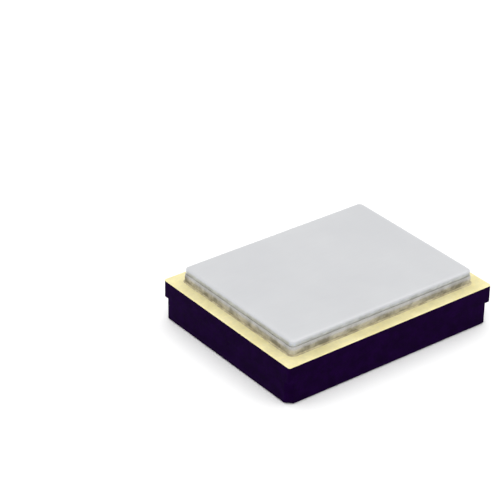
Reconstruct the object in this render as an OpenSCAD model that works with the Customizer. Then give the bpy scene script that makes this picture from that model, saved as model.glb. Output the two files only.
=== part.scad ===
// Crystal oscillator for surface mounting, in a 3.2 x 2.5 mm ceramic package with a welded lid.
// Millimetres, +Z up. The origin is the centre of the footprint, on the plane that the
// terminals stand on. +X runs along the package. Terminal 1, the one with a cut corner, is at
// -X, -Y, and terminals 2, 3 and 4 follow it counter-clockwise as seen from above.

/* [Ceramic package] */
// Length of the ceramic, along X
package_l = 3.2; // [3.1:0.05:3.6]
// Width of the ceramic, along Y
package_w = 2.5; // [2.4:0.05:2.8]
// Thickness of the floor layer
floor_t = 0.15; // [0.1:0.01:0.25]
// Thickness of the ledge layer, which carries the crystal
ledge_t = 0.14; // [0.13:0.01:0.25]
// Height of the wall layer, which keeps its full corners
wall_h = 0.225; // [0.1:0.005:0.3]
// Width of the wall on all four sides of the cavity
wall_w = 0.41; // [0.36:0.01:0.42]
// Straight cut down the corners of the floor and ledge layers
corner_cut = 0.08; // [0.03:0.01:0.12]
// Radius of the wall layer's corners, and of the metal on its rim
corner_r = 0.03; // [0.01:0.01:0.1]
// Radius of the cavity's upright corners
cavity_r = 0.12; // [0.03:0.01:0.2]
// Length of the ledge under the crystal's mounted end
ledge_l = 0.46; // [0.4:0.01:0.5]
// Length of the ledge under the crystal's free end
rest_l = 0.22; // [0.1:0.01:0.35]
// Width of the shelves along the die's well
shelf_w = 0.22; // [0.1:0.01:0.35]
// Radius of the well's upright corners
well_r = 0.06; // [0.02:0.01:0.12]

/* [Terminals] */
// Length of a terminal, along X
terminal_l = 1; // [0.8:0.05:1.2]
// Width of a terminal, along Y
terminal_w = 0.8; // [0.6:0.05:0.95]
// Thickness of the plated metal of a terminal
terminal_t = 0.015; // [0.01:0.005:0.03]
// Bare ceramic between a terminal and the package's end
terminal_end_gap = 0.05; // [0.02:0.01:0.1]
// Bare ceramic between a terminal and the package's side
terminal_side_gap = 0.075; // [0.02:0.005:0.12]
// Cut across the inner corner of terminal 1
index_cut = 0.3; // [0.1:0.01:0.4]

/* [Seal ring and lid] */
// Thickness of the plated metal on the wall's rim
rim_t = 0.015; // [0.01:0.005:0.03]
// Thickness of the brazing metal under the ring
braze_t = 0.015; // [0.01:0.005:0.03]
// Height and reach of the brazing metal's fillet at the ring's foot
fillet_h = 0.02; // [0.01:0.001:0.04]
// Rim left bare between the package's edge and the ring
ring_inset = 0.165; // [0.12:0.005:0.18]
// Rim left bare between the ring and the cavity
ring_setback = 0.02; // [0:0.01:0.06]
// Height of the ring
ring_h = 0.1; // [0.06:0.01:0.2]
// Radius of the ring's outer corners
ring_r = 0.07; // [0.05:0.01:0.15]
// Radius of the ring's inner corners
ring_inner_r = 0.1; // [0.03:0.01:0.2]
// Width of the slope that the seam weld leaves on the ring's upper outer edge
ring_slope_w = 0.01; // [0.005:0.001:0.02]
// Height of that slope
ring_slope_h = 0.04; // [0.01:0.005:0.05]
// Step from the ring's side in to the lid's edge
lid_step = 0.014; // [0.01:0.001:0.04]
// Thickness of the lid
lid_t = 0.08; // [0.05:0.005:0.12]
// Radius of the lid's corners
lid_r = 0.06; // [0.06:0.01:0.2]
// Width of the bevel that the seam weld leaves on the lid's edge
bevel_w = 0.02; // [0.01:0.005:0.05]
// Height of that bevel
bevel_h = 0.015; // [0.01:0.005:0.04]

/* [Crystal] */
// Thickness of the quartz blank, which sets its frequency
blank_t = 0.065; // [0.03:0.005:0.12]
// Clear gap between the blank's mounted end and the cavity's wall
blank_mount_gap = 0.14; // [0.06:0.01:0.17]
// Clear gap between the blank's free end and the cavity's wall
blank_free_gap = 0.14; // [0.08:0.01:0.2]
// Clear gap between each side of the blank and the cavity's wall
blank_side_gap = 0.165; // [0.07:0.005:0.22]
// Length of an electrode
electrode_l = 1.15; // [0.8:0.05:1.3]
// Width of an electrode
electrode_w = 0.95; // [0.8:0.05:1.1]
// Thickness of the electrode's metal film
film_t = 0.004; // [0.003:0.001:0.008]
// Width of the lead from an electrode to its contact
lead_w = 0.12; // [0.06:0.01:0.15]
// Length of a contact at the blank's mounted end
contact_l = 0.24; // [0.23:0.01:0.3]
// Width of a contact at the blank's mounted end
contact_w = 0.3; // [0.25:0.01:0.35]
// Bare quartz between a contact and the blank's side
contact_side_gap = 0.075; // [0.03:0.005:0.12]
// Diameter of a dot of conductive adhesive
glue_d = 0.22; // [0.12:0.01:0.23]
// Thickness of the cured adhesive
glue_t = 0.025; // [0.015:0.005:0.05]

/* [Oscillator die] */
// Length of the die
die_l = 0.85; // [0.75:0.05:1.1]
// Width of the die
die_w = 0.75; // [0.65:0.05:0.95]
// Thickness of the die
die_t = 0.1; // [0.07:0.01:0.11]
// Diameter of a bump
bump_d = 0.07; // [0.05:0.005:0.075]
// Height of a bump, which is the gap under the die
bump_h = 0.02; // [0.01:0.005:0.03]
// Distance between the bumps along X
bump_pitch_l = 0.28; // [0.25:0.01:0.3]
// Distance between the two rows of bumps, along Y
bump_pitch_w = 0.5; // [0.44:0.01:0.54]

/* [Wiring] */
// Width of a trace
trace_w = 0.08; // [0.07:0.01:0.1]
// Thickness of a trace
trace_t = 0.01; // [0.005:0.001:0.015]
// Distance between the two crystal traces under the die
crystal_trace_pitch = 0.18; // [0.14:0.01:0.24]
// Diameter of a filled via
via_d = 0.08; // [0.05:0.01:0.1]
// Width of a crystal land on the ledge
land_w = 0.42; // [0.3:0.01:0.5]
// Thickness of a crystal land
land_t = 0.01; // [0.005:0.001:0.02]
// Bare ledge at both ends of a crystal land
land_gap = 0.04; // [0.02:0.01:0.06]

/* [Hidden] */
$fn = 48;

// Levels, from the board up
floor_z = terminal_t + floor_t;
ledge_z = floor_z + ledge_t;
wall_z = ledge_z + wall_h;
rim_z = wall_z + rim_t;
ring_z = rim_z + braze_t;
lid_z = ring_z + ring_h;

// The cavity in the wall layer, and the well for the die in the ledge layer
cavity_l = package_l - 2 * wall_w;
cavity_w = package_w - 2 * wall_w;
well_l = cavity_l - ledge_l - rest_l;
well_w = cavity_w - 2 * shelf_w;
well_x = (ledge_l - rest_l) / 2;

// Middle of terminal 3, the others being its mirror images
terminal_x = package_l / 2 - terminal_end_gap - terminal_l / 2;
terminal_y = package_w / 2 - terminal_side_gap - terminal_w / 2;

// Outlines of the ring and the lid
ring_l = package_l - 2 * ring_inset;
ring_wide = package_w - 2 * ring_inset;
lid_l = ring_l - 2 * lid_step;
lid_w = ring_wide - 2 * lid_step;

// How far out and up from the ring's foot the centre of the fillet's hollow arc lies
fillet_strike = 1.3 * fillet_h;

// The blank, which fills the cavity up to its gaps and is held at its -X end
blank_l = cavity_l - blank_mount_gap - blank_free_gap;
blank_w = cavity_w - 2 * blank_side_gap;
blank_end = blank_mount_gap - cavity_l / 2;
blank_x = blank_end + blank_l / 2;
blank_z = ledge_z + land_t + glue_t + film_t;
contact_x = blank_end + contact_l / 2;
contact_y = (blank_w - contact_w) / 2 - contact_side_gap;

// The crystal lands on the ledge
land_l = ledge_l - 2 * land_gap;
land_x = (ledge_l - cavity_l) / 2;

// The die, face down in the middle of the well
die_z = floor_z + trace_t + bump_h;
bump_y = bump_pitch_w / 2;

// A rectangle with round corners, centred on the origin
module round_rect(l, w, r) {
    square([l - 2 * r, w], center = true);
    square([l, w - 2 * r], center = true);
    for (x = [-1, 1], y = [-1, 1])
        translate([x * (l / 2 - r), y * (w / 2 - r)])
            circle(r);
}

// A plate with round corners whose edge has the profile given as its child. The profile's x
// runs outward from the middle of the corners, and its y runs up from the plate's underside.
module edged_plate(l, w, h, r) {
    translate([0, 0, h / 2])
        cube([l - 2 * r, w - 2 * r, h], center = true);
    for (turn = [0:3]) {
        across = (turn % 2 == 0 ? l : w) / 2 - r;
        along = (turn % 2 == 0 ? w : l) / 2 - r;
        rotate(90 * turn) {
            translate([across, 0, 0])
                rotate([90, 0, 0])
                    linear_extrude(2 * along, center = true)
                        children();
            translate([across, along, 0])
                rotate_extrude(angle = 90)
                    children();
        }
    }
}

// The ceramic's outline below the wall layer, with its four corners cut straight
module cut_outline() {
    x = package_l / 2;
    y = package_w / 2;
    c = corner_cut;
    polygon([[c - x, -y], [x - c, -y], [x, c - y], [x, y - c],
        [x - c, y], [c - x, y], [-x, y - c], [-x, c - y]]);
}

module wall_outline() {
    round_rect(package_l, package_w, corner_r);
}

// A flat strip of trace from one point to the next, along X or along Y
module strip(from, to) {
    low = [min(from.x, to.x) - trace_w / 2, min(from.y, to.y) - trace_w / 2, floor_z];
    span = [abs(to.x - from.x) + trace_w, abs(to.y - from.y) + trace_w, trace_t];
    translate(low)
        cube(span);
}

module via(x, y, z, h) {
    translate([x, y, z])
        cylinder(d = via_d, h = h);
}

// From a die's corner bump out and along to a terminal, and down through the floor.
// The signs of x and y choose the terminal.
module terminal_route(x, y) {
    bump = [well_x + x * bump_pitch_l, y * bump_y];
    pad = [x * terminal_x, y * terminal_y];
    strip(bump, [bump.x, pad.y]);
    strip([bump.x, pad.y], pad);
    via(pad.x, pad.y, terminal_t, floor_t);
}

// From a middle bump in under the die, along to the ledge, and up to a crystal land.
// The sign of y chooses the land.
module crystal_route(y) {
    turn_y = y * crystal_trace_pitch / 2;
    strip([well_x, y * bump_y], [well_x, turn_y]);
    strip([land_x, turn_y], [well_x, turn_y]);
    strip([land_x, turn_y], [land_x, y * contact_y]);
    via(land_x, y * contact_y, floor_z, ledge_t);
}

// From terminal 2 up through the corner of the wall to the rim
module lid_ground_route() {
    via((package_l - wall_w) / 2, -(package_w - wall_w) / 2, terminal_t, wall_z - terminal_t);
}

module all_routes() {
    for (x = [-1, 1], y = [-1, 1])
        terminal_route(x, y);
    for (y = [-1, 1])
        crystal_route(y);
    lid_ground_route();
}

module terminal(x, y) {
    color("khaki")
        translate([x * terminal_x, y * terminal_y, terminal_t / 2])
            cube([terminal_l, terminal_w, terminal_t], center = true);
}

module trace(x, y) {
    color("goldenrod")
        terminal_route(x, y);
}

module crystal_trace(y) {
    color("goldenrod")
        crystal_route(y);
}

module crystal_land(y) {
    color("gold")
        translate([land_x, y * contact_y, ledge_z + land_t / 2])
            cube([land_l, land_w, land_t], center = true);
}

// The dot's foot spreads on its land by its own thickness
module glue_dot(y) {
    color("silver")
        translate([contact_x, y * contact_y, ledge_z + land_t])
            cylinder(d1 = glue_d, d2 = glue_d - glue_t, h = glue_t);
}

// Film on one face of the blank: a contact at the mounted end of side y, and with it, on the
// electrode's own face, the electrode and the lead between them
module film(y, z, with_electrode) {
    translate([0, 0, z])
        linear_extrude(film_t) {
            translate([contact_x, y * contact_y])
                square([contact_l, contact_w], center = true);
            if (with_electrode) {
                lead_l = (blank_l - electrode_l) / 2;
                translate([blank_x, 0])
                    square([electrode_l, electrode_w], center = true);
                translate([blank_end + lead_l / 2, y * (electrode_w - lead_w) / 2])
                    square([lead_l, lead_w], center = true);
            }
        }
}

// An electrode and its contact, which wraps over the blank's end onto the other face
module electrode(y, upper) {
    under = blank_z - film_t;
    over = blank_z + blank_t;
    film(y, over, upper);
    film(y, under, !upper);
    translate([blank_end - film_t, y * contact_y - contact_w / 2, under])
        cube([film_t, contact_w, blank_t + 2 * film_t]);
}

module ceramic_package() {
    color("#1b1020")
        difference() {
            union() {
                translate([0, 0, terminal_t])
                    linear_extrude(floor_t + ledge_t)
                        cut_outline();
                translate([0, 0, ledge_z])
                    linear_extrude(wall_h)
                        wall_outline();
            }
            translate([0, 0, ledge_z])
                linear_extrude(wall_h)
                    round_rect(cavity_l, cavity_w, cavity_r);
            translate([well_x, 0, floor_z])
                linear_extrude(ledge_t)
                    round_rect(well_l, well_w, well_r);
            all_routes();
        }
}

module terminal_1() {
    l = terminal_l / 2;
    w = terminal_w / 2;
    color("khaki")
        translate([-terminal_x, -terminal_y, 0])
            linear_extrude(terminal_t)
                polygon([[-l, -w], [l, -w], [l, w - index_cut], [l - index_cut, w], [-l, w]]);
}

module rim_metal() {
    color("palegoldenrod")
        translate([0, 0, wall_z])
            linear_extrude(rim_t)
                difference() {
                    wall_outline();
                    round_rect(cavity_l, cavity_w, cavity_r);
                }
}

// The fillet is hollow: its arc is struck from a point a little further out and up than its
// own reach, so that it meets the ring and the rim at a small angle and not in a knife edge
module braze() {
    color("darkkhaki")
        translate([0, 0, rim_z])
            difference() {
                edged_plate(ring_l, ring_wide, braze_t, ring_r) {
                    union() {
                        square([ring_r, braze_t]);
                        translate([ring_r, 0])
                            difference() {
                                square(fillet_h);
                                translate([fillet_strike, fillet_strike])
                                    circle(norm([fillet_strike, fillet_strike - fillet_h]));
                            }
                    }
                }
                ring_opening(braze_t);
            }
}

// What is cut from the ring, and from the braze under it, down to the cavity
module ring_opening(h) {
    linear_extrude(h)
        round_rect(cavity_l + 2 * ring_setback, cavity_w + 2 * ring_setback, ring_inner_r);
}

module seal_ring() {
    color("tan")
        translate([0, 0, ring_z])
            difference() {
                edged_plate(ring_l, ring_wide, ring_h, ring_r)
                    bevelled(ring_r, ring_h, ring_slope_w, ring_slope_h);
                ring_opening(ring_h);
            }
}

// An edge's profile with its upper outer corner cut
module bevelled(reach, h, cut_w, cut_h) {
    polygon([[0, 0], [reach, 0], [reach, h - cut_h], [reach - cut_w, h], [0, h]]);
}

module lid() {
    color("gainsboro")
        translate([0, 0, lid_z])
            edged_plate(lid_l, lid_w, lid_t, lid_r)
                bevelled(lid_r, lid_t, bevel_w, bevel_h);
}

module lid_ground_via() {
    color("goldenrod")
        lid_ground_route();
}

module quartz_blank() {
    color("azure", 0.6)
        translate([blank_x, 0, blank_z + blank_t / 2])
            cube([blank_l, blank_w, blank_t], center = true);
}

module upper_electrode() {
    color("lightyellow")
        electrode(1, true);
}

module lower_electrode() {
    color("lightyellow")
        electrode(-1, false);
}

module oscillator_die() {
    color("slategray")
        translate([well_x, 0, die_z + die_t / 2])
            cube([die_l, die_w, die_t], center = true);
}

module die_bumps() {
    color("gold")
        for (column = [-1:1], row = [-1, 1])
            translate([well_x + column * bump_pitch_l, row * bump_y, floor_z + trace_t])
                cylinder(d = bump_d, h = bump_h);
}

ceramic_package();
terminal_1();
terminal(1, -1);  // terminal_2
terminal(1, 1);  // terminal_3
terminal(-1, 1);  // terminal_4
rim_metal();
braze();
seal_ring();
lid();
lid_ground_via();
trace(-1, -1);  // enable_trace
trace(1, -1);  // ground_trace
trace(1, 1);  // output_trace
trace(-1, 1);  // supply_trace
crystal_trace(-1);  // crystal_trace_a
crystal_trace(1);  // crystal_trace_b
crystal_land(-1);  // crystal_land_a
crystal_land(1);  // crystal_land_b
glue_dot(-1);  // glue_dot_a
glue_dot(1);  // glue_dot_b
quartz_blank();
upper_electrode();
lower_electrode();
oscillator_die();
die_bumps();
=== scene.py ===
"""Looks of a surface-mount crystal oscillator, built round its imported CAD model.

The lid, the seal ring, the brazing metal, the rim's plating, the ceramic and the terminals
are rebuilt as finer meshes, with the soft edges and the weld marks of the real ones. The
pieces sealed inside keep their CAD shapes and get the finishes of the real ones.
"""
import math
from functools import partial

import bmesh
import bpy
from mathutils import Matrix, Vector, noise


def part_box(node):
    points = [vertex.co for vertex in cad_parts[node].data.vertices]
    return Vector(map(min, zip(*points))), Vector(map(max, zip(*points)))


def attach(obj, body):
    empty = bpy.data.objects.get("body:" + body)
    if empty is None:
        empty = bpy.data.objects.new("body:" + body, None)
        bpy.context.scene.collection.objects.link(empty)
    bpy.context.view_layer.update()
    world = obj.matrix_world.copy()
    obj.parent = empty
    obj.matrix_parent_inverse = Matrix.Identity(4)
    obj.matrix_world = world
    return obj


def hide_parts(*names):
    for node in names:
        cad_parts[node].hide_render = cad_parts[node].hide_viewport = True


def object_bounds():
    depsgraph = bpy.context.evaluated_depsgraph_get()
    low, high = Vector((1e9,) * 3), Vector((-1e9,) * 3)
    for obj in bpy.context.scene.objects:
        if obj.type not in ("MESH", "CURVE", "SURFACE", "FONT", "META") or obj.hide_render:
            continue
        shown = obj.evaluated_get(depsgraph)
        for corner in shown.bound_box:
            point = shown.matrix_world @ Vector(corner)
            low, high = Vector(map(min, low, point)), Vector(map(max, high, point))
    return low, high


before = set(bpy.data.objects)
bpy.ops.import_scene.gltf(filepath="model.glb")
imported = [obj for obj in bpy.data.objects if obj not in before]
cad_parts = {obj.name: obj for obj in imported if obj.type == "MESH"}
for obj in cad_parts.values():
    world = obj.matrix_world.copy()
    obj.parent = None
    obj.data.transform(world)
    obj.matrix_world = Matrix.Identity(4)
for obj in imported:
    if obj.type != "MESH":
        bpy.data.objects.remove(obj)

bl_info = {
    "name": "Crystal oscillator",
    "version": (1, 0, 0),
    "blender": (4, 5, 0),
    "location": "View3D > Sidebar > Oscillator",
    "description": "Builds the looks of a crystal oscillator in a ceramic package",
    "category": "Add Mesh",
}

CAD_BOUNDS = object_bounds()
MM = 0.001
MICRON = 0.000001
BODY = "root"

# The mesh attribute that holds, from 0 to 1, each point's wear and painted shade
WEAR_AND_SHADE = "wear_and_shade"

# A noise keeps mostly to the middle of its range. These parts of it are stretched to the
# whole of what it drives: the narrower the part, the harder the edges of the pattern
PATCHES = {"From Min": 0.35, "From Max": 0.65}
BLOTCHES = {"From Min": 0.4, "From Max": 0.6}
GRAINS = {"From Min": 0.3, "From Max": 0.7}

# The points on each rounded corner, and the parts of each straight side
CORNER_POINTS = 12
SIDE_PARTS = 96

# No corner drawn in along a soft edge gets tighter than this radius
LEAST_RADIUS = 0.01 * MM

# Nor does one along an edge that the roller has welded get tighter than this
LEAST_WELDED_RADIUS = 0.02 * MM


# --- Colours and nodes -----------------------------------------------------------------

def linear(hex_colour):
    """An sRGB hex colour such as 'D8D9DB' as linear red, green, blue and alpha."""
    levels = [int(hex_colour[i:i + 2], 16) / 255 for i in (0, 2, 4)]
    return tuple(level / 12.92 if level <= 0.04045 else ((level + 0.055) / 1.055) ** 2.4
                 for level in levels) + (1.0,)


def varied(tone, red, green, blue):
    """A shade of a tone, as shares of its red, green and blue."""
    return (tone[0] * red, tone[1] * green, tone[2] * blue, 1.0)


def add_node(tree, kind, inputs=None, **settings):
    """Adds a node with its settings, and its inputs as values or as sockets to link."""
    made = tree.nodes.new(kind)
    for name, value in settings.items():
        setattr(made, name, value)
    for name, value in (inputs or {}).items():
        if isinstance(value, bpy.types.NodeSocket):
            tree.links.new(value, made.inputs[name])
        else:
            made.inputs[name].default_value = value
    return made


def surface(name, shader, tones, patch, grain, relief, rough, speckle,
            stretch=(1.0, 1.0, 1.0), worn_and_shaded=None, breakup=0.05 * MM):
    """A material whose colour wanders between two tones over patches of one size, and whose
    relief and roughness follow a grain of another, which also makes it darker and lighter
    by the share given as speckle. Patch, grain, relief and breakup are lengths. Where a
    mesh's wear and shade level runs from 0 to 1 the colour goes over to the second pair of
    tones, in blotches of breakup's size. These are blotchy wear on the seal ring and painted
    shade on the lid's side."""
    material = bpy.data.materials.new(name)
    material.use_nodes = True
    tree = material.node_tree
    tree.nodes.clear()
    place = add_node(tree, "ShaderNodeTexCoord").outputs["Object"]
    patches = add_node(tree, "ShaderNodeTexNoise", {
        "Vector": place, "Scale": 1 / patch, "Detail": 3.0, "Roughness": 0.55})
    wander = add_node(tree, "ShaderNodeMapRange", {
        "Value": patches.outputs["Fac"], **PATCHES})
    tone = add_node(tree, "ShaderNodeMix", {
        "Factor": wander.outputs["Result"], "A": tones[0], "B": tones[1]}, data_type="RGBA")
    if worn_and_shaded:
        wear_and_shade = add_node(tree, "ShaderNodeAttribute", attribute_name=WEAR_AND_SHADE)
        blotches = add_node(tree, "ShaderNodeTexNoise", {
            "Vector": place, "Scale": 1 / breakup, "Detail": 5.0})
        spots = add_node(tree, "ShaderNodeMapRange", {
            "Value": blotches.outputs["Fac"], **BLOTCHES})
        stain_and_shade = add_node(tree, "ShaderNodeMix", {
            "Factor": spots.outputs["Result"], "A": worn_and_shaded[0], "B": worn_and_shaded[1]},
            data_type="RGBA")
        tone = add_node(tree, "ShaderNodeMix", {
            "Factor": wear_and_shade.outputs["Fac"], "A": tone.outputs["Result"],
            "B": stain_and_shade.outputs["Result"]}, data_type="RGBA")
    drawn = add_node(tree, "ShaderNodeMapping", {"Vector": place, "Scale": stretch})
    grains = add_node(tree, "ShaderNodeTexNoise", {
        "Vector": drawn.outputs["Vector"], "Scale": 1 / grain, "Detail": 2.0})
    shade = add_node(tree, "ShaderNodeMapRange", {
        "Value": grains.outputs["Fac"], **GRAINS,
        "To Min": 1 - speckle, "To Max": 1 + speckle})
    grainy = add_node(tree, "ShaderNodeVectorMath", {
        "Vector": tone.outputs["Result"], "Scale": shade.outputs["Result"]},
        operation="SCALE")
    roughness = add_node(tree, "ShaderNodeMapRange", {
        "Value": grains.outputs["Fac"], **GRAINS, "To Min": rough[0], "To Max": rough[1]})
    bump = add_node(tree, "ShaderNodeBump", {
        "Height": grains.outputs["Fac"], "Distance": relief})
    principled = add_node(tree, "ShaderNodeBsdfPrincipled", {
        "Base Color": grainy.outputs["Vector"], "Roughness": roughness.outputs["Result"],
        "Normal": bump.outputs["Normal"], **shader})
    add_node(tree, "ShaderNodeOutputMaterial", {"Surface": principled.outputs["BSDF"]})
    return material


# --- Outlines and rings ----------------------------------------------------------------

def rounded_outline(corners, radius, arc_steps, run_steps):
    """A closed run of points round a polygon with rounded corners. run_steps holds, for
    each corner in turn, how many parts the straight run after it is divided into."""
    arcs = []
    for index, here in enumerate(corners):
        to_last = (corners[index - 1] - here).normalized()
        to_next = (corners[(index + 1) % len(corners)] - here).normalized()
        half = to_last.angle(to_next) / 2
        centre = here + (to_last + to_next).normalized() * radius / math.sin(half)
        start = here + to_last * radius / math.tan(half) - centre
        sweep = math.pi - 2 * half
        arcs.append([centre + Matrix.Rotation(sweep * step / arc_steps, 2) @ start
                     for step in range(arc_steps + 1)])
    points = []
    for index, arc in enumerate(arcs):
        first = arcs[(index + 1) % len(arcs)][0]
        parts = run_steps[index % len(run_steps)]
        points += arc + [arc[-1].lerp(first, part / parts) for part in range(1, parts)]
    return points


def rectangle(half_x, half_y, radius):
    """A rounded rectangle's outline."""
    corners = [Vector(corner) for corner in (
        (half_x, half_y), (-half_x, half_y), (-half_x, -half_y), (half_x, -half_y))]
    return rounded_outline(corners, radius, CORNER_POINTS - 1, [SIDE_PARTS])


def cut_rectangle(half_x, half_y, cut, radius):
    """A rectangle's outline with its corners cut, in as many points as rectangle() makes."""
    corners = [Vector(corner) for corner in (
        (half_x, half_y - cut), (half_x - cut, half_y),
        (cut - half_x, half_y), (-half_x, half_y - cut),
        (-half_x, cut - half_y), (cut - half_x, -half_y),
        (half_x - cut, -half_y), (half_x, cut - half_y))]
    return rounded_outline(corners, radius, CORNER_POINTS // 2 - 1, [1, SIDE_PARTS])


def ring_at(outline, z, centre=(0.0, 0.0)):
    """An outline as a ring of points at a height, moved to a centre."""
    return [Vector((point.x + centre[0], point.y + centre[1], z)) for point in outline]


def inset(high, radius, inward, z, least=LEAST_RADIUS):
    """The ring of a rounded rectangle whose far corner is at high, drawn in all round. Its
    corners get no tighter than the least radius."""
    tight = max(radius - inward, least)
    return ring_at(rectangle(high.x - inward, high.y - inward, tight), z)


def soft_edge(inward, upward, steps=5):
    """A quarter round from an upright side to a level face, as (inward, upward) steps."""
    turns = [math.pi / 2 * step / steps for step in range(steps + 1)]
    return [(inward * (1 - math.cos(turn)), upward * math.sin(turn)) for turn in turns]


def lower_edge(ring, z, inward, upward):
    """Rings up a soft edge that starts at height z. ring makes one, from inward and z."""
    return [ring(across, z + upward - up)
            for across, up in reversed(soft_edge(inward, upward))]


def upper_edge(ring, z, inward, upward):
    """Rings up a soft edge that ends at height z."""
    return [ring(across, z - upward + up) for across, up in soft_edge(inward, upward)]


def outward(ring):
    """The level direction that points out of a closed ring, at each of its points."""
    count = len(ring)
    return [(ring[(i + 1) % count] - ring[i - 1]).cross(Vector((0, 0, 1))).normalized()
            for i in range(count)]


# --- Meshes and their places -----------------------------------------------------------

def skin(name, rings, capped=True, wear_and_shade=(), sharp=math.radians(35)):
    """A closed mesh through rings of equal length, which ends in caps or joins up. The wear
    and shade levels hold each ring's wear, and on the lid's side its painted shade. Edges
    that turn more than sharp stay hard."""
    mesh = bpy.data.meshes.new(name)
    build = bmesh.new()
    loops = [[build.verts.new(point) for point in ring] for ring in rings]
    count = len(loops[0])
    pairs = list(zip(loops, loops[1:])) + ([] if capped else [(loops[-1], loops[0])])
    for below, above in pairs:
        for i in range(count):
            j = (i + 1) % count
            build.faces.new((below[i], below[j], above[j], above[i]))
    if capped:
        build.faces.new(reversed(loops[0]))
        build.faces.new(loops[-1])
    bmesh.ops.recalc_face_normals(build, faces=build.faces)
    for face in build.faces:
        face.smooth = True
    build.to_mesh(mesh)
    build.free()
    mesh.set_sharp_from_angle(angle=sharp)
    if wear_and_shade:
        worn_and_shaded = mesh.attributes.new(WEAR_AND_SHADE, "FLOAT", "POINT")
        worn_and_shaded.data.foreach_set("value", [level for level in wear_and_shade for _ in rings[0]])
    piece = bpy.data.objects.new(name, mesh)
    bpy.context.scene.collection.objects.link(piece)
    return piece


def seat(piece, node_name, material):
    """Puts a finished piece in a CAD node's place, on the part's only body."""
    piece.data.materials.append(material)
    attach(piece, BODY)
    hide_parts(node_name)


def dress(material, *node_names):
    """Gives CAD nodes that keep their shapes the finish of the real pieces."""
    for node_name in node_names:
        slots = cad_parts[node_name].data.materials
        slots.clear()
        slots.append(material)


# --- Sizes and colours a user would change ---------------------------------------------

def length(name, description, millimetres):
    """A length that the sidebar shows in the scene's units."""
    return bpy.props.FloatProperty(name=name, description=description,
                                   default=millimetres * MM, subtype="DISTANCE", precision=6)


def angle(name, description, degrees):
    """An angle that the sidebar shows in degrees."""
    return bpy.props.FloatProperty(name=name, description=description,
                                   default=math.radians(degrees), subtype="ANGLE")


def colour(name, description, tone):
    """A colour that the sidebar shows as a swatch."""
    return bpy.props.FloatVectorProperty(name=name, description=description, size=4,
                                         default=linear(tone), min=0.0, max=1.0,
                                         subtype="COLOR")


class OscillatorPackage(bpy.types.PropertyGroup):
    """Sizes and colours of the ceramic and its plated metal"""
    ceramic: colour("Ceramic", "Colour of the dark alumina", "130124")
    gold: colour("Gold", "Colour of the gold plating", "EFE9C4")
    edge: length("Edge", "Radius that tumbling leaves on the ceramic's edges", 0.006)
    cut: length("Corner cut", "Straight cut down the corners of the lower layers", 0.08)
    corner: length("Corner", "Radius of the wall layer's corners", 0.03)
    wall_height: length("Wall height", "Height of the layer with full corners", 0.225)
    wall: length("Wall", "Width of the wall round the cavity", 0.41)
    cavity_corner: length("Cavity corner", "Radius of the cavity's upright corners", 0.12)
    ledge_height: length("Ledge height", "Height of the layer that carries the crystal", 0.14)
    ledge: length("Ledge", "Length of the ledge under the crystal's mounted end", 0.46)
    rest: length("Rest", "Length of the ledge under the crystal's free end", 0.22)
    shelf: length("Shelf", "Width of the shelves along the die's well", 0.22)
    well_corner: length("Well corner", "Radius of the well's upright corners", 0.06)
    index_cut: length("Index cut", "Cut across the inner corner of terminal 1", 0.3)


class OscillatorSeal(bpy.types.PropertyGroup):
    """Sizes and colours of the seal ring and the lid welded to it"""
    lid: colour("Lid", "Colour of the nickel-plated lid", "BFC0C2")
    ring: colour("Ring", "Colour of the seal ring's side", "A6A5A0")
    lid_corner: length("Lid corner", "Radius of the lid's corners", 0.06)
    bevel: length("Bevel", "Width of the bevel on the lid's edge", 0.02)
    bevel_drop: length("Bevel height", "Height of the bevel on the lid's edge", 0.015)
    ring_corner: length("Ring corner", "Radius of the ring's outer corners", 0.07)
    ring_width: length("Ring width", "Width of the ring's metal", 0.225)
    ring_inner: length("Ring inner corner", "Radius of the ring's inner corners", 0.1)
    slope: length("Slope", "Width of the weld's slope on the ring's upper edge", 0.01)
    slope_drop: length("Slope height", "Height of that slope", 0.04)
    braze: length("Braze", "Thickness of the brazing metal under the ring", 0.015)
    spot_pitch: length("Spot pitch", "Distance from one weld spot to the next", 0.11)
    spot_depth: length("Spot depth", "How far a weld spot is pressed in", 0.005)


class OscillatorStage(bpy.types.PropertyGroup):
    """The camera and the light"""
    azimuth: angle("Azimuth", "Way round the part to the camera", -38.0)
    elevation: angle("Elevation", "Height of the camera above the board", 30.0)
    roll: angle("Roll", "Turn of the camera about its own axis", 0.97)
    distance: length("Distance", "From the camera to the point it looks at", 26.92)
    lens: bpy.props.FloatProperty(name="Lens", description="Focal length, in millimetres",
                                  default=152.35, unit="CAMERA")
    room_light: bpy.props.FloatProperty(name="Room light", default=1.3, min=0.0,
                                        description="Strength of the even white light")
    key_light: bpy.props.FloatProperty(name="Key light", default=0.25, min=0.0,
                                       description="Radiance of the softbox overhead")


# --- The ceramic and its plated metal --------------------------------------------------

def gold_plating(name, tone):
    """Soft gold, electroplated over nickel on screen-printed tungsten: a pale yellow metal,
    matt from the fired print under it, and a shade deeper where it is thinner."""
    # The print's real grain of 5 to 10 microns is drawn four times as coarse, to show
    return surface(name, {"Metallic": 1.0}, (varied(tone, 0.93, 0.92, 0.86), tone),
                   patch=0.22 * MM, grain=0.035 * MM, relief=1.5 * MICRON,
                   rough=(0.8, 0.95), speckle=0.05)


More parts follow.
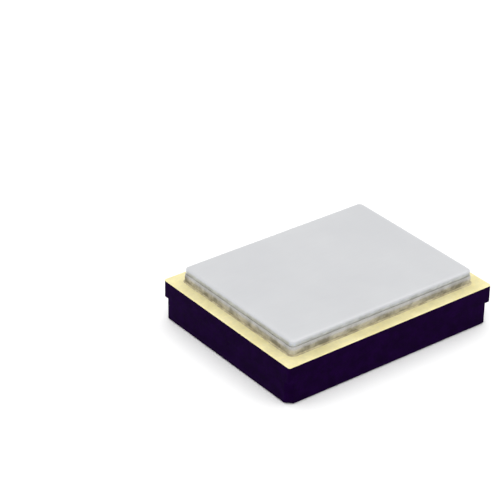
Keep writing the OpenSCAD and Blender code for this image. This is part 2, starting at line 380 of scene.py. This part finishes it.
class OSCILLATOR_OT_package(bpy.types.Operator):
    """Makes the ceramic package, with its cut corners, its cavity and the well for the die"""
    bl_idname = "oscillator.package"
    bl_label = "Ceramic package"

    def execute(self, context):
        sizes = context.scene.oscillator_package
        low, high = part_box("ceramic_package")
        die_low, die_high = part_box("oscillator_die")
        # Black alumina, pressed from tape and fired: a dense dark body, matt from its
        # 5 micron grain, which is drawn as 25 microns to show. That grain scatters almost
        # all of its sheen, so the specular level is close to nothing
        alumina = surface(
            "fired_black_alumina", {"IOR": 1.76, "Specular IOR Level": 0.005},
            (varied(sizes.ceramic, 0.78, 0.78, 0.75), varied(sizes.ceramic, 1.22, 1.22, 1.25)),
            patch=0.12 * MM, grain=0.025 * MM, relief=0.6 * MICRON, rough=(0.5, 0.7),
            speckle=0.2)
        edge = sizes.edge
        # The stacked layers meet in a step of a few microns, and the cuts' edges are soft
        layer_step = 0.003 * MM
        cut_edge = 0.012 * MM

        def lower(inward, z):
            drawn_in = layer_step + inward
            return ring_at(cut_rectangle(high.x - drawn_in, high.y - drawn_in,
                                         sizes.cut, cut_edge), z)

        upper = partial(inset, high, sizes.corner)
        ledge_z = high.z - sizes.wall_height
        floor_z = ledge_z - sizes.ledge_height
        # Up the outside, where the edge at the foot is the roundest. A ring inside each end
        # keeps the flat face beyond it level
        rings = [lower(3 * edge, low.z)]
        rings += lower_edge(lower, low.z, edge, edge)
        rings += [lower(0.0, ledge_z - 0.3 * edge), lower(0.0, ledge_z)]
        rings += lower_edge(upper, ledge_z, 0.2 * edge, 0.5 * edge)
        rings += upper_edge(upper, high.z, 0.5 * edge, 0.5 * edge)
        rings.append(upper(2 * edge, high.z))

        # Down the inside: the cavity's wall, the ledge, and the well that holds the die
        cavity_x = high.x - sizes.wall
        cavity_y = high.y - sizes.wall
        cavity = rectangle(cavity_x, cavity_y, sizes.cavity_corner)
        well = rectangle(cavity_x - (sizes.ledge + sizes.rest) / 2, cavity_y - sizes.shelf,
                         sizes.well_corner)
        under_die = ((die_low.x + die_high.x) / 2, 0.0)
        rings += [ring_at(cavity, high.z), ring_at(cavity, ledge_z),
                  ring_at(well, ledge_z, under_die), ring_at(well, floor_z, under_die)]
        seat(skin("ceramic_body", rings), "ceramic_package", alumina)
        return {"FINISHED"}


def pad_outline(half, index_cut, inward):
    """A terminal's outline, drawn in all round. index_cut is the cut across the corner that
    lies towards the package's middle, or 0."""
    x = half.x - inward
    y = half.y - inward
    corners = [(x, y), (-x, y), (-x, -y), (x, -y)]
    if index_cut:
        # Less of the cut is left on a smaller outline, so that its slant comes in as far
        slant = index_cut - inward * (2 - math.sqrt(2))
        corners[0:1] = [(x, y - slant), (x - slant, y)]
    return rounded_outline([Vector(corner) for corner in corners], 0.02 * MM, 6, [24])


class OSCILLATOR_OT_terminals(bpy.types.Operator):
    """Makes the four gold-plated terminals, the first with its index cut"""
    bl_idname = "oscillator.terminals"
    bl_label = "Terminals"

    def execute(self, context):
        sizes = context.scene.oscillator_package
        gold = gold_plating("gold_plated_terminal", varied(sizes.gold, 0.95, 0.85, 0.67))
        print_edge = 0.006 * MM
        for number in range(1, 5):
            name = f"terminal_{number}"
            low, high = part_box(name)
            middle = (low + high) / 2
            half = (high - low) / 2
            outline = partial(pad_outline, half, sizes.index_cut if number == 1 else 0.0)

            def pad(inward, z):
                return ring_at(outline(inward), z, (middle.x, middle.y))

            rings = [pad(3 * print_edge, low.z)]
            rings += lower_edge(pad, low.z, print_edge, print_edge)
            rings.append(pad(0.0, high.z))
            seat(skin(f"{name}_plating", rings), name, gold)
        return {"FINISHED"}


class OSCILLATOR_OT_rim(bpy.types.Operator):
    """Makes the plated metal printed on the wall's rim"""
    bl_idname = "oscillator.rim"
    bl_label = "Rim metal"

    def execute(self, context):
        package = context.scene.oscillator_package
        low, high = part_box("rim_metal")
        gold = gold_plating("gold_plated_rim", package.gold)
        # The wet print slumps at its edge: upright for 0.3 of its height, then rounded
        print_edge = 0.02 * MM
        rounded = 0.7 * (high.z - low.z)
        outer = partial(inset, high, package.corner)
        rings = [outer(0.0, low.z)]
        rings += upper_edge(outer, high.z, print_edge, rounded)
        rings.append(outer(2 * print_edge, high.z))
        cavity = rectangle(high.x - package.wall, high.y - package.wall,
                           package.cavity_corner)
        rings += [ring_at(cavity, high.z), ring_at(cavity, low.z)]
        seat(skin("rim_plating", rings, capped=False), "rim_metal", gold)
        return {"FINISHED"}


# --- The brazing metal, the seal ring and the lid --------------------------------------

def ring_opening(ring_high, seal):
    """The outline of the opening in the seal ring."""
    return rectangle(ring_high.x - seal.ring_width, ring_high.y - seal.ring_width,
                     seal.ring_inner)


def wandering(points, reach, wavelength, seed):
    """A slow, even wander along a ring, one length for each point."""
    lift = Vector((0.0, 0.0, seed))
    return [reach * noise.noise(point / wavelength + lift) for point in points]


class OSCILLATOR_OT_braze(bpy.types.Operator):
    """Makes the brazing metal that joins the ring to the rim, with its hollow fillet"""
    bl_idname = "oscillator.braze"
    bl_label = "Brazing metal"

    def execute(self, context):
        seal = context.scene.oscillator_seal
        low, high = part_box("braze")
        ring_low, ring_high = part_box("seal_ring")
        # Silver-copper braze under a flash of gold: a browner metal than the rim beside it,
        # mottled where it wetted unevenly
        metal = surface("gold_flashed_braze", {"Metallic": 1.0},
                        (linear("999079"), linear("C3BB9E")), patch=0.12 * MM,
                        grain=0.03 * MM, relief=1.5 * MICRON, rough=(0.5, 0.7), speckle=0.08)
        reach = high.x - ring_high.x
        height = high.z - low.z
        foot = rectangle(ring_high.x, ring_high.y, seal.ring_corner)
        level = ring_at(foot, low.z)
        ways = outward(level)
        wander = wandering(level, reach=0.3, wavelength=0.25 * MM, seed=3.0)
        # The metal reaches about 0.8 of the way out and 0.9 of the way up, and where it ran
        # further out it also climbed higher
        rings = []
        fillet_steps = 6
        for step in range(fillet_steps + 1):
            turn = math.pi / 2 * step / fillet_steps
            out = reach * (1 - math.sin(turn))
            up = height * (1 - math.cos(turn))
            rings.append([point + way * out * (0.8 + drift)
                          + Vector((0, 0, up * (0.9 + 0.3 * drift)))
                          for point, way, drift in zip(level, ways, wander)])
        opening = ring_opening(ring_high, seal)
        under_ring = low.z + seal.braze
        rings += [ring_at(foot, under_ring), ring_at(opening, under_ring),
                  ring_at(opening, low.z)]
        seat(skin("braze_fillet", rings, capped=False), "braze", metal)
        return {"FINISHED"}


def weld_spots(ring, pitch, depth, seed):
    """How far overlapping weld spots press in along a ring: shallow round dips whose depth
    wanders as the roller's pressure does."""
    walked = 0.0
    spots = []
    for index, point in enumerate(ring):
        walked += (point - ring[index - 1]).length
        place = walked / pitch % 1.0 - 0.5
        force = 0.7 + 0.6 * noise.noise(point / (4 * pitch) + Vector((0, 0, seed)))
        spots.append(depth * force * (1 - 4 * place * place))
    return spots


def welded_edge(profile, low, high, radius, seal, seed):
    """Rings up an edge that the roller has welded. The profile gives each ring's place
    inward and up, the share of the weld spots' depth pressed into it, and its level of
    wear and painted shade."""
    rings = []
    for inward, up, pressed, _ in profile:
        ring = inset(high, radius, inward, low.z + up, LEAST_WELDED_RADIUS)
        dips = weld_spots(ring, seal.spot_pitch, seal.spot_depth * pressed, seed)
        rings.append([point - way * dip
                      for point, way, dip in zip(ring, outward(ring), dips)])
    return rings


class OSCILLATOR_OT_ring(bpy.types.Operator):
    """Makes the seal ring, whose upper edge the weld has sloped"""
    bl_idname = "oscillator.ring"
    bl_label = "Seal ring"

    def execute(self, context):
        seal = context.scene.oscillator_seal
        low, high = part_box("seal_ring")
        # Iron-nickel-cobalt alloy, stamped and nickel-plated: a grey metal, duller in
        # blotches low on its side, which the gold rim that it mirrors makes brown
        alloy = surface("nickel_plated_ring_alloy", {"Metallic": 1.0},
                        (varied(seal.ring, 0.9, 0.9, 0.9), seal.ring), patch=0.12 * MM,
                        grain=0.02 * MM, relief=0.5 * MICRON, rough=(0.35, 0.5),
                        speckle=0.06, worn_and_shaded=(linear("858383"), linear("C0BEC2")),
                        breakup=0.16 * MM)
        slope, drop = seal.slope, seal.slope_drop
        top = high.z - low.z
        side = top - drop
        profile = [(0.0, 0.0, 0.0, 1.0),
                   (0.0, side - 0.25 * drop, 0.0, 0.9),
                   (0.0, side, 0.0, 0.8),
                   (0.15 * slope, side + 0.3 * drop, 0.345, 0.5),
                   (0.4 * slope, side + 0.65 * drop, 0.585, 0.3),
                   (0.8 * slope, side + 0.92 * drop, 0.46, 0.2),
                   (1.3 * slope, top, 0.0, 0.2),
                   (4 * slope, top, 0.0, 0.2)]
        rings = welded_edge(profile, low, high, seal.ring_corner, seal, seed=5.0)
        opening = ring_opening(high, seal)
        rings += [ring_at(opening, high.z), ring_at(opening, low.z)]
        wear_and_shade = [worn_and_shaded for _, _, _, worn_and_shaded in profile] + [0.0, 0.0]
        seat(skin("ring_side", rings, capped=False, wear_and_shade=wear_and_shade),
             "seal_ring", alloy)
        return {"FINISHED"}


class OSCILLATOR_OT_lid(bpy.types.Operator):
    """Makes the lid, with the bevel and the spots that the seam weld leaves"""
    bl_idname = "oscillator.lid"
    bl_label = "Lid"

    def execute(self, context):
        seal = context.scene.oscillator_seal
        low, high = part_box("lid")
        # Rolled alloy sheet under bright nickel: a cool, even grey with a soft sheen. Its side
        # is painted darker and bluer, as painted shade, fully on the lower side and fading out
        # near the bevel. The rolling lines, a few microns apart on the real one, are drawn 20
        # microns apart
        nickel = surface("nickel_plated_sheet", {"Metallic": 1.0},
                         (varied(seal.lid, 0.96, 0.96, 0.965), seal.lid), patch=0.9 * MM,
                         grain=0.02 * MM, relief=0.12 * MICRON, rough=(0.3, 0.36),
                         speckle=0.015, stretch=(0.06, 1.0, 1.0),
                         worn_and_shaded=(linear("A4A8B1"), linear("B6BBC6")), breakup=0.12 * MM)
        bevel, drop = seal.bevel, seal.bevel_drop
        top = high.z - low.z
        side = top - drop
        foot = 0.005 * MM
        # The bevel runs out softly onto the top, over four times its own width
        # Each row: the ring's place inward and up, its share of the weld spots' depth, and how
        # much painted shade darkens it
        profile = [(3 * foot, 0.0, 0.0, 1.0),
                   (foot, 0.0, 0.0, 1.0),
                   (0.3 * foot, 0.3 * foot, 0.0, 1.0),
                   (0.0, foot, 0.0, 1.0),
                   (0.0, 2 * foot, 0.0, 1.0),
                   (0.0, 0.5 * side, 0.0, 1.0),
                   (0.0, side - 2 * foot, 0.0, 0.3),
                   (0.0, side - foot, 0.3, 0.15),
                   (0.12 * bevel, side + 0.2 * drop, 1.0, 0.05),
                   (0.45 * bevel, side + 0.45 * drop, 1.0, 0.0),
                   (1.0 * bevel, side + 0.68 * drop, 0.6, 0.0),
                   (1.8 * bevel, side + 0.88 * drop, 0.2, 0.0),
                   (2.8 * bevel, side + 0.97 * drop, 0.0, 0.0),
                   (4.0 * bevel, top, 0.0, 0.0)]
        rings = welded_edge(profile, low, high, seal.lid_corner, seal, seed=9.0)
        lid = skin("lid_sheet", rings, wear_and_shade=[worn_and_shaded for _, _, _, worn_and_shaded in profile])
        seat(lid, "lid", nickel)
        return {"FINISHED"}


# --- The pieces sealed inside ----------------------------------------------------------

class OSCILLATOR_OT_inside(bpy.types.Operator):
    """Gives the pieces sealed inside the finishes of the real ones"""
    bl_idname = "oscillator.inside"
    bl_label = "Pieces inside"

    def execute(self, context):
        # Synthetic quartz, sawn, lapped and etched: clear, with the frost of the etch, whose
        # pits of a few microns are drawn as 20 to show
        quartz = surface("etched_quartz", {"Transmission Weight": 1.0, "IOR": 1.544},
                         (linear("F2F6F8"), linear("FAFCFD")), patch=0.5 * MM,
                         grain=0.02 * MM, relief=0.1 * MICRON, rough=(0.05, 0.14),
                         speckle=0.01)
        dress(quartz, "quartz_blank")
        # Gold, evaporated on the etched blank: a thin mirror, frosted by the pits under it
        film = surface("evaporated_gold", {"Metallic": 1.0},
                       (linear("F2D68C"), linear("F8E2A4")), patch=0.4 * MM,
                       grain=0.03 * MM, relief=0.1 * MICRON, rough=(0.12, 0.22),
                       speckle=0.03)
        dress(film, "upper_electrode", "lower_electrode")
        # Silver-filled resin, dispensed and cured: a dull grey with bright flakes in it, of
        # 5 to 10 microns, drawn as 12 to 20
        glue = surface("silver_filled_resin", {"Metallic": 0.6},
                       (linear("8E8F90"), linear("D9DADB")), patch=0.02 * MM,
                       grain=0.012 * MM, relief=1.5 * MICRON, rough=(0.4, 0.7),
                       speckle=0.15)
        dress(glue, "glue_dot_a", "glue_dot_b")
        # Silicon, ground thin: a dark blue-grey mirror, streaked one way by the grinding
        # wheel. The streaks, a micron or two apart, are drawn as 12
        silicon = surface("ground_silicon", {"IOR": 3.9},
                          (linear("1B1F27"), linear("262B35")), patch=0.3 * MM,
                          grain=0.012 * MM, relief=0.2 * MICRON, rough=(0.2, 0.32),
                          speckle=0.1, stretch=(1.0, 0.1, 1.0))
        dress(silicon, "oscillator_die")
        # Gold wire, melted into balls and bonded: a deep yellow metal with a satin skin
        bumps = surface("bonded_gold_bump", {"Metallic": 1.0},
                        (linear("E9C46A"), linear("F3D58A")), patch=0.05 * MM,
                        grain=0.01 * MM, relief=0.5 * MICRON, rough=(0.3, 0.45),
                        speckle=0.04)
        dress(bumps, "die_bumps")
        # Tungsten paste, printed and fired with the ceramic: a dark grey metal, whose grain
        # of 2 to 5 microns is drawn as 15 to show
        tungsten = surface("fired_tungsten", {"Metallic": 1.0},
                           (linear("6E6A66"), linear("8C8781")), patch=0.06 * MM,
                           grain=0.015 * MM, relief=1.5 * MICRON, rough=(0.5, 0.7),
                           speckle=0.12)
        dress(tungsten, "lid_ground_via", "enable_trace", "ground_trace", "output_trace",
              "supply_trace", "crystal_trace_a", "crystal_trace_b")
        gold = context.scene.oscillator_package.gold
        dress(gold_plating("gold_plated_land", varied(gold, 1.0, 0.97, 0.85)),
              "crystal_land_a", "crystal_land_b")
        return {"FINISHED"}


# --- The stage -------------------------------------------------------------------------

def lay_floor(scene, z):
    """A round board, wide enough to fill every view, at a height."""
    # White board with a matt coat: even, with the faint tooth of the coat
    board = surface("matt_white_board", {"Specular IOR Level": 0.2},
                    (linear("FAFAFA"), linear("FCFCFC")), patch=8 * MM, grain=0.4 * MM,
                    relief=1 * MICRON, rough=(0.8, 0.9), speckle=0.004)
    mesh = bpy.data.meshes.new("floor")
    build = bmesh.new()
    bmesh.ops.create_circle(build, cap_ends=True, segments=96, radius=500 * MM)
    build.to_mesh(mesh)
    build.free()
    mesh.materials.append(board)
    floor = bpy.data.objects.new("floor", mesh)
    floor.location.z = z
    scene.collection.objects.link(floor)


def set_light(scene, stage, middle):
    """An even white room, and a softbox overhead that points at the part."""
    world = bpy.data.worlds.new("even_white_room")
    world.use_nodes = True
    room = world.node_tree.nodes["Background"]
    room.inputs["Color"].default_value = (1.0, 1.0, 1.0, 1.0)
    room.inputs["Strength"].default_value = stage.room_light
    scene.world = world

    softbox = bpy.data.lights.new("softbox", "AREA")
    softbox.shape = "SQUARE"
    softbox.size = 60 * MM
    softbox.energy = stage.key_light * math.pi * softbox.size ** 2
    lamp = bpy.data.objects.new("softbox", softbox)
    lamp.location = middle + Vector((10 * MM, 5 * MM, 50 * MM))
    lamp.rotation_euler = (lamp.location - middle).to_track_quat("Z", "Y").to_euler()
    scene.collection.objects.link(lamp)


def place_camera(scene, stage, aim):
    """A camera that looks at the aim from the stage's direction and distance."""
    back = Vector((math.sin(stage.azimuth) * math.cos(stage.elevation),
                   -math.cos(stage.azimuth) * math.cos(stage.elevation),
                   math.sin(stage.elevation)))
    turn = (-back).to_track_quat("-Z", "Y").to_matrix()
    data = bpy.data.cameras.new("camera")
    data.lens = stage.lens
    data.sensor_width = 36.0
    data.clip_start = 1 * MM
    data.clip_end = 10.0
    camera = bpy.data.objects.new("camera", data)
    camera.location = aim + back * stage.distance
    camera.rotation_euler = (turn @ Matrix.Rotation(stage.roll, 3, "Z")).to_euler()
    scene.collection.objects.link(camera)
    scene.camera = camera


class OSCILLATOR_OT_stage(bpy.types.Operator):
    """Lays the floor, sets the light and places the camera"""
    bl_idname = "oscillator.stage"
    bl_label = "Floor, light and camera"

    def execute(self, context):
        scene = context.scene
        scene.view_settings.view_transform = "Standard"
        low, high = CAD_BOUNDS
        middle = (low + high) / 2
        lay_floor(scene, low.z)
        set_light(scene, scene.oscillator_stage, middle)
        # The part stands to the lower right of the view, so the aim is behind its left side
        aim = Vector((middle.x - 0.283 * MM, middle.y + 1.213 * MM, low.z + 0.53 * MM))
        place_camera(scene, scene.oscillator_stage, aim)
        return {"FINISHED"}


# --- The add-on ------------------------------------------------------------------------

SETTINGS = {"oscillator_package": OscillatorPackage, "oscillator_seal": OscillatorSeal,
            "oscillator_stage": OscillatorStage}
PIECES = (OSCILLATOR_OT_package, OSCILLATOR_OT_terminals, OSCILLATOR_OT_rim,
          OSCILLATOR_OT_braze, OSCILLATOR_OT_ring, OSCILLATOR_OT_lid,
          OSCILLATOR_OT_inside, OSCILLATOR_OT_stage)


class OSCILLATOR_PT_panel(bpy.types.Panel):
    """Lists the pieces and their sizes"""
    bl_idname = "OSCILLATOR_PT_panel"
    bl_label = "Crystal oscillator"
    bl_space_type = "VIEW_3D"
    bl_region_type = "UI"
    bl_category = "Oscillator"

    def draw(self, context):
        for piece in PIECES:
            self.layout.operator(piece.bl_idname)
        for name in SETTINGS:
            group = getattr(context.scene, name)
            column = self.layout.column()
            for field in group.__annotations__:
                column.prop(group, field)


CLASSES = (*SETTINGS.values(), *PIECES, OSCILLATOR_PT_panel)


def register():
    for item in CLASSES:
        bpy.utils.register_class(item)
    for name, group in SETTINGS.items():
        setattr(bpy.types.Scene, name, bpy.props.PointerProperty(type=group))


def unregister():
    for name in SETTINGS:
        delattr(bpy.types.Scene, name)
    for item in reversed(CLASSES):
        bpy.utils.unregister_class(item)


def main():
    register()
    bpy.ops.oscillator.package()
    bpy.ops.oscillator.terminals()
    bpy.ops.oscillator.rim()
    bpy.ops.oscillator.braze()
    bpy.ops.oscillator.ring()
    bpy.ops.oscillator.lid()
    bpy.ops.oscillator.inside()
    bpy.ops.oscillator.stage()


if __name__ == "__main__":
    main()
